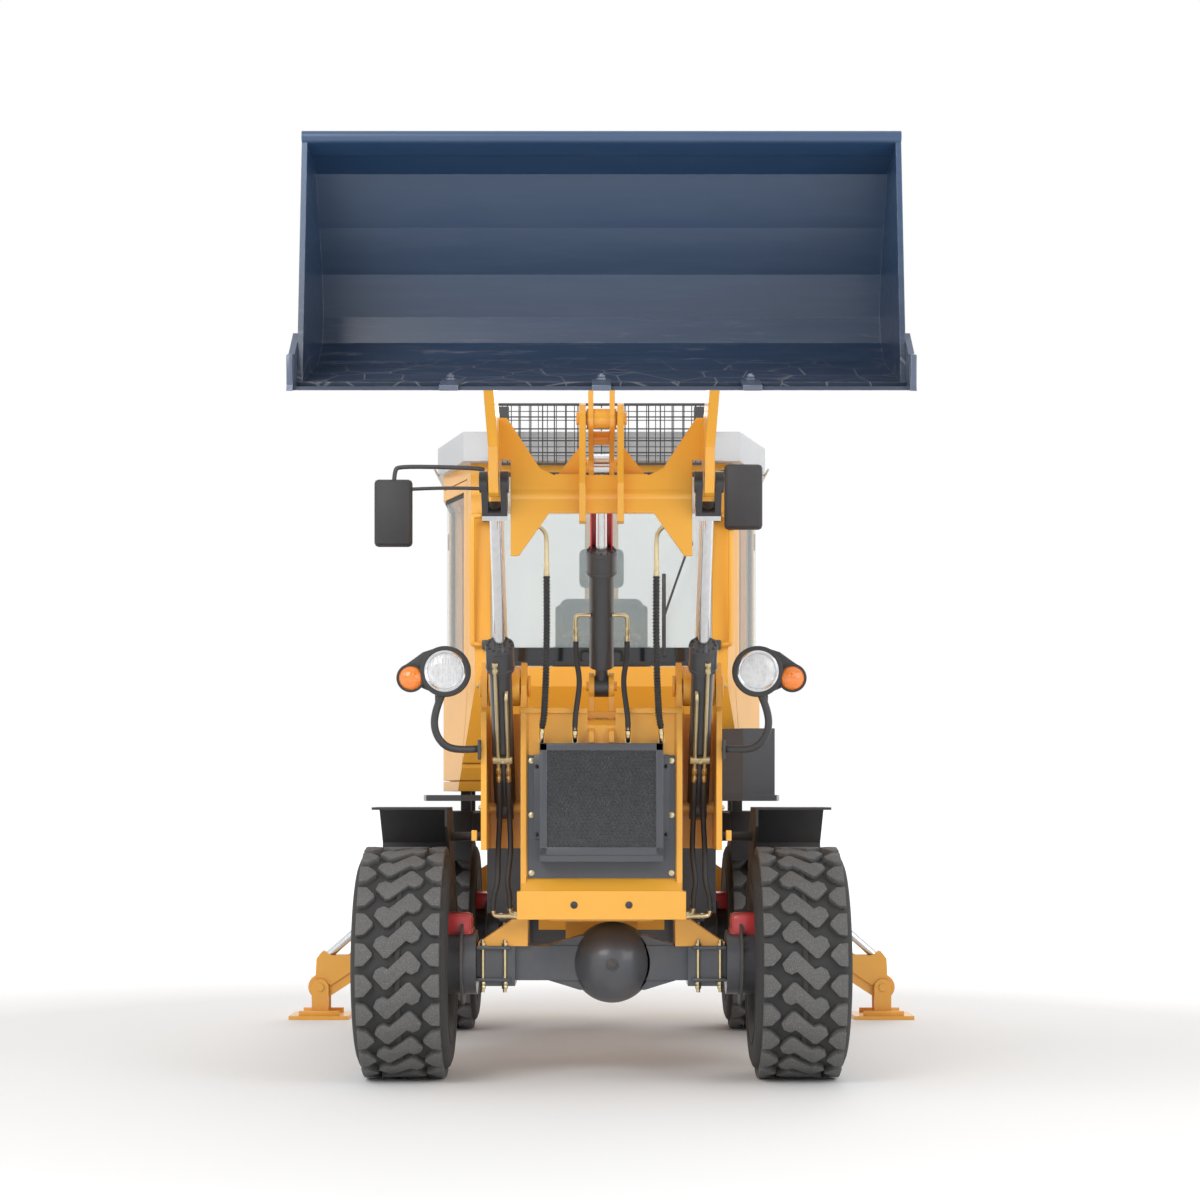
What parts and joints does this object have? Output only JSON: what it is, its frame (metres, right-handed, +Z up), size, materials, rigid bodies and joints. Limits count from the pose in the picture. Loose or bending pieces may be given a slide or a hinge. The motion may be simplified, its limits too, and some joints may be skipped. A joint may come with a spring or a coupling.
{
  "type": "backhoe loader",
  "caption": "Articulated wheeled loader with a raised front shovel on twin arms, glazed cab, stabilisers and a folded digging boom behind; shovel, boom and steering joint move on cylinders.",
  "frame": {"origin": "centre of the machine's footprint box, on the ground", "axes": "Z up; X to the right seen from the front shovel's side looking back; Y from the shovel towards the digging boom; millimetres in the source, metres here"},
  "size_m": [3.672, 7.1238, 3.7045],
  "materials": {
    "yellow_paint": "gloss paint",
    "bucket_blue": "worn gloss paint",
    "worn_steel": "worn bright steel",
    "cylinder_black": "satin paint",
    "rod_chrome": "hard chrome",
    "axle_grey": "satin paint",
    "caliper_red": "gloss paint",
    "frame_black": "satin paint",
    "tyre_rubber": "matte rubber",
    "cab_glass": "clear glass",
    "black_plastic": "grained plastic",
    "roof_grey": "satin plastic",
    "seat_cloth": "woven cloth",
    "lamp_lens": "clear lens",
    "engine_iron": "painted casting"
  },
  "bodies": {
    "chassis": {"rear_frame": "frame_black", "rear_axle": "axle_grey", "cab_shell": "yellow_paint", "cab_roof": "roof_grey", "cab_glass": "cab_glass", "seat": "seat_cloth", "steering_console": "black_plastic", "side_steps": "frame_black", "rear_fenders": "black_plastic", "window_guard": "frame_black", "mirrors_and_rails": "frame_black"},
    "front": {"front_frame": "yellow_paint", "front_axle": "axle_grey", "front_calipers": "caliper_red", "cooler": "frame_black", "engine_hood": "yellow_paint", "engine_block": "engine_iron", "front_fenders": "black_plastic", "lamp_stalks": "frame_black", "headlamps": "lamp_lens"},
    "arms": {"loader_arms": "yellow_paint"},
    "crank": {"bell_crank": "yellow_paint"},
    "link": {"tilt_link": "yellow_paint"},
    "bucket": {"loader_bucket": "bucket_blue", "bucket_edge": "worn_steel"},
    "tilt_barrel": {"tilt_barrel": "cylinder_black"},
    "tilt_rod": {"tilt_rod": "rod_chrome"},
    "post": {"swing_post": "yellow_paint"},
    "boom": {"boom": "yellow_paint"},
    "boom_barrel": {"boom_barrel": "cylinder_black"},
    "boom_rod": {"boom_rod": "rod_chrome"},
    "dipper": {"dipper": "yellow_paint"},
    "dipper_barrel": {"dipper_barrel": "cylinder_black"},
    "dipper_rod": {"dipper_rod": "rod_chrome"},
    "digger": {"digging_bucket": "bucket_blue"},
    "guide": {"bucket_guide": "yellow_paint"},
    "push_link": {"bucket_link": "yellow_paint"},
    "digger_barrel": {"digger_barrel": "cylinder_black"},
    "digger_rod": {"digger_rod": "rod_chrome"},
    "front_left_wheel": {"front_left_tyre": "tyre_rubber", "front_left_rim": "yellow_paint"},
    "rear_left_wheel": {"rear_left_tyre": "tyre_rubber", "rear_left_rim": "yellow_paint"},
    "front_right_wheel": {"front_right_tyre": "tyre_rubber", "front_right_rim": "yellow_paint"},
    "rear_right_wheel": {"rear_right_tyre": "tyre_rubber", "rear_right_rim": "yellow_paint"},
    "lift_barrels": {"lift_barrels": "cylinder_black"},
    "lift_rods": {"lift_rods": "rod_chrome"},
    "door_left": {"door_left": "yellow_paint"},
    "door_right": {"door_right": "yellow_paint"},
    "stabiliser_leg_left": {"stabiliser_leg_left": "yellow_paint"},
    "stabiliser_foot_left": {"stabiliser_foot_left": "frame_black"},
    "jack_barrel_left": {"jack_barrel_left": "cylinder_black"},
    "jack_rod_left": {"jack_rod_left": "rod_chrome"},
    "stabiliser_leg_right": {"stabiliser_leg_right": "yellow_paint"},
    "stabiliser_foot_right": {"stabiliser_foot_right": "frame_black"},
    "jack_barrel_right": {"jack_barrel_right": "cylinder_black"},
    "jack_rod_right": {"jack_rod_right": "rod_chrome"}
  },
  "joints": [
    {"name": "articulation", "type": "hinge", "parent": "chassis", "child": "front", "pos_m": [0, 0.332, 0.8], "axis": [0, 0, 1], "range_deg": [-36, 36]},
    {"name": "front_left_wheel_spin", "type": "hinge", "parent": "front", "child": "front_left_wheel", "pos_m": [-0.91, -0.818, 0.54], "axis": [1, 0, 0], "continuous": true},
    {"name": "rear_left_wheel_spin", "type": "hinge", "parent": "chassis", "child": "rear_left_wheel", "pos_m": [-0.91, 1.482, 0.54], "axis": [1, 0, 0], "continuous": true},
    {"name": "front_right_wheel_spin", "type": "hinge", "parent": "front", "child": "front_right_wheel", "pos_m": [0.91, -0.818, 0.54], "axis": [1, 0, 0], "continuous": true},
    {"name": "rear_right_wheel_spin", "type": "hinge", "parent": "chassis", "child": "rear_right_wheel", "pos_m": [0.91, 1.482, 0.54], "axis": [1, 0, 0], "continuous": true},
    {"name": "boom_lift", "type": "hinge", "parent": "front", "child": "arms", "pos_m": [0, -0.998, 1.82], "axis": [-1, 0, 0], "range_deg": [-86, 12]},
    {"name": "bucket_tilt", "type": "hinge", "parent": "arms", "child": "bucket", "pos_m": [0, -2.746, 3.127], "axis": [1, 0, 0], "range_deg": [-104, 39]},
    {"name": "crank_turn", "type": "hinge", "parent": "arms", "child": "crank", "pos_m": [0, -1.848, 2.911], "axis": [1, 0, 0], "range_deg": [-54.08, 20.28]},
    {"name": "link_turn", "type": "hinge", "parent": "crank", "child": "link", "pos_m": [0, -1.747, 3.383], "axis": [1, 0, 0], "range_deg": [-19.89, 53.04]},
    {"name": "tilt_barrel_turn", "type": "hinge", "parent": "arms", "child": "tilt_barrel", "pos_m": [0, -0.998, 1.82], "axis": [1, 0, 0], "range_deg": [-6.62, 17.66]},
    {"name": "tilt_rod_slide", "type": "slide", "parent": "tilt_barrel", "child": "tilt_rod", "axis": [0, -0.4358, 0.9], "range_m": [-0.11899, 0.04462]},
    {"name": "lift_barrels_turn", "type": "hinge", "parent": "front", "child": "lift_barrels", "pos_m": [0, -0.868, 1.262], "axis": [-1, 0, 0], "range_deg": [-67.57, 9.43]},
    {"name": "lift_rods_slide", "type": "slide", "parent": "lift_barrels", "child": "lift_rods", "axis": [0, -0.6292, 0.7773], "range_m": [-0.65194, 0.09097]},
    {"name": "door_left_turn", "type": "hinge", "parent": "chassis", "child": "door_left", "pos_m": [-0.84, 1.192, 2.15], "axis": [0, 0, -1], "range_deg": [0, 85]},
    {"name": "door_right_turn", "type": "hinge", "parent": "chassis", "child": "door_right", "pos_m": [0.84, 1.192, 2.15], "axis": [0, 0, 1], "range_deg": [0, 85]},
    {"name": "leg_left_raise", "type": "hinge", "parent": "chassis", "child": "stabiliser_leg_left", "pos_m": [-0.43, 2.074, 0.98], "axis": [0, 1, 0], "range_deg": [0, 95]},
    {"name": "foot_left_turn", "type": "hinge", "parent": "stabiliser_leg_left", "child": "stabiliser_foot_left", "pos_m": [-1.661, 2.074, 0.184], "axis": [0, 1, 0], "range_deg": [-38, 0]},
    {"name": "jack_barrel_left_turn", "type": "hinge", "parent": "chassis", "child": "jack_barrel_left", "pos_m": [-0.42, 2.074, 1.42], "axis": [0, 1, 0], "range_deg": [0, 98.32]},
    {"name": "jack_rod_left_slide", "type": "slide", "parent": "jack_barrel_left", "child": "jack_rod_left", "axis": [-0.7524, 0, -0.6587], "range_m": [-0.64486, 0]},
    {"name": "leg_right_raise", "type": "hinge", "parent": "chassis", "child": "stabiliser_leg_right", "pos_m": [0.43, 2.074, 0.98], "axis": [0, -1, 0], "range_deg": [0, 95]},
    {"name": "foot_right_turn", "type": "hinge", "parent": "stabiliser_leg_right", "child": "stabiliser_foot_right", "pos_m": [1.661, 2.074, 0.184], "axis": [0, -1, 0], "range_deg": [-38, 0]},
    {"name": "jack_barrel_right_turn", "type": "hinge", "parent": "chassis", "child": "jack_barrel_right", "pos_m": [0.42, 2.074, 1.42], "axis": [0, -1, 0], "range_deg": [0, 98.32]},
    {"name": "jack_rod_right_slide", "type": "slide", "parent": "jack_barrel_right", "child": "jack_rod_right", "axis": [0.7524, 0, -0.6587], "range_m": [-0.64486, 0]},
    {"name": "swing", "type": "hinge", "parent": "chassis", "child": "post", "pos_m": [0, 2.442, 0.725], "axis": [0, 0, 1], "range_deg": [-90, 90]},
    {"name": "boom_swing_down", "type": "hinge", "parent": "post", "child": "boom", "pos_m": [0, 2.672, 0.9], "axis": [-1, 0, 0], "range_deg": [0, 125]},
    {"name": "boom_barrel_turn", "type": "hinge", "parent": "post", "child": "boom_barrel", "pos_m": [0, 2.40544, 1.04781], "axis": [-1, 0, 0], "range_deg": [0, 118.59]},
    {"name": "boom_rod_slide", "type": "slide", "parent": "boom_barrel", "child": "boom_rod", "axis": [0, -0.3092, 0.951], "range_m": [0, 0.52917]},
    {"name": "dipper_unfold", "type": "hinge", "parent": "boom", "child": "dipper", "pos_m": [0, 2.1938, 3.14974], "axis": [1, 0, 0], "range_deg": [0, 130]},
    {"name": "dipper_barrel_turn", "type": "hinge", "parent": "boom", "child": "dipper_barrel", "pos_m": [0, 2.10387, 1.9856], "axis": [1, 0, 0], "range_deg": [-3.81, 0]},
    {"name": "dipper_rod_slide", "type": "slide", "parent": "dipper_barrel", "child": "dipper_rod", "axis": [0, -0.1025, 0.9947], "range_m": [-0.53381, 0]},
    {"name": "digger_open", "type": "hinge", "parent": "dipper", "child": "digger", "pos_m": [0, 3.30457, 2.2177], "axis": [1, 0, 0], "range_deg": [0, 150]},
    {"name": "guide_turn", "type": "hinge", "parent": "dipper", "child": "guide", "pos_m": [0, 3.04411, 2.43624], "axis": [1, 0, 0], "range_deg": [0, 116.19]},
    {"name": "push_link_turn", "type": "hinge", "parent": "guide", "child": "push_link", "pos_m": [0, 3.32584, 2.33315], "axis": [1, 0, 0], "range_deg": [-124.08, 0]},
    {"name": "digger_barrel_turn", "type": "hinge", "parent": "dipper", "child": "digger_barrel", "pos_m": [0, 2.41798, 3.18355], "axis": [1, 0, 0], "range_deg": [0, 11.95]},
    {"name": "digger_rod_slide", "type": "slide", "parent": "digger_barrel", "child": "digger_rod", "axis": [0, 0.7298, -0.6836], "range_m": [-0.48002, 0]}
  ],
  "couplings": [
    {"joint": "crank_turn", "follows": "bucket_tilt", "ratio": 0.52},
    {"joint": "link_turn", "follows": "bucket_tilt", "ratio": -0.50998},
    {"joint": "tilt_barrel_turn", "follows": "bucket_tilt", "ratio": -0.16986},
    {"joint": "tilt_rod_slide", "follows": "bucket_tilt", "m_per_rad": 0.065556},
    {"joint": "lift_barrels_turn", "follows": "boom_lift", "ratio": 0.78574},
    {"joint": "lift_rods_slide", "follows": "boom_lift", "m_per_rad": 0.43434},
    {"joint": "foot_left_turn", "follows": "leg_left_raise", "ratio": -0.4},
    {"joint": "jack_barrel_left_turn", "follows": "leg_left_raise", "ratio": 1.0349},
    {"joint": "jack_rod_left_slide", "follows": "leg_left_raise", "m_per_rad": -0.38893},
    {"joint": "foot_right_turn", "follows": "leg_right_raise", "ratio": -0.4},
    {"joint": "jack_barrel_right_turn", "follows": "leg_right_raise", "ratio": 1.0349},
    {"joint": "jack_rod_right_slide", "follows": "leg_right_raise", "m_per_rad": -0.38893},
    {"joint": "boom_barrel_turn", "follows": "boom_swing_down", "ratio": 0.94874},
    {"joint": "boom_rod_slide", "follows": "boom_swing_down", "m_per_rad": 0.24255},
    {"joint": "dipper_barrel_turn", "follows": "dipper_unfold", "ratio": -0.029282},
    {"joint": "dipper_rod_slide", "follows": "dipper_unfold", "m_per_rad": -0.23527},
    {"joint": "guide_turn", "follows": "digger_open", "ratio": 0.77458},
    {"joint": "push_link_turn", "follows": "digger_open", "ratio": -0.82723},
    {"joint": "digger_barrel_turn", "follows": "digger_open", "ratio": 0.079695},
    {"joint": "digger_rod_slide", "follows": "digger_open", "m_per_rad": -0.18335}
  ]
}
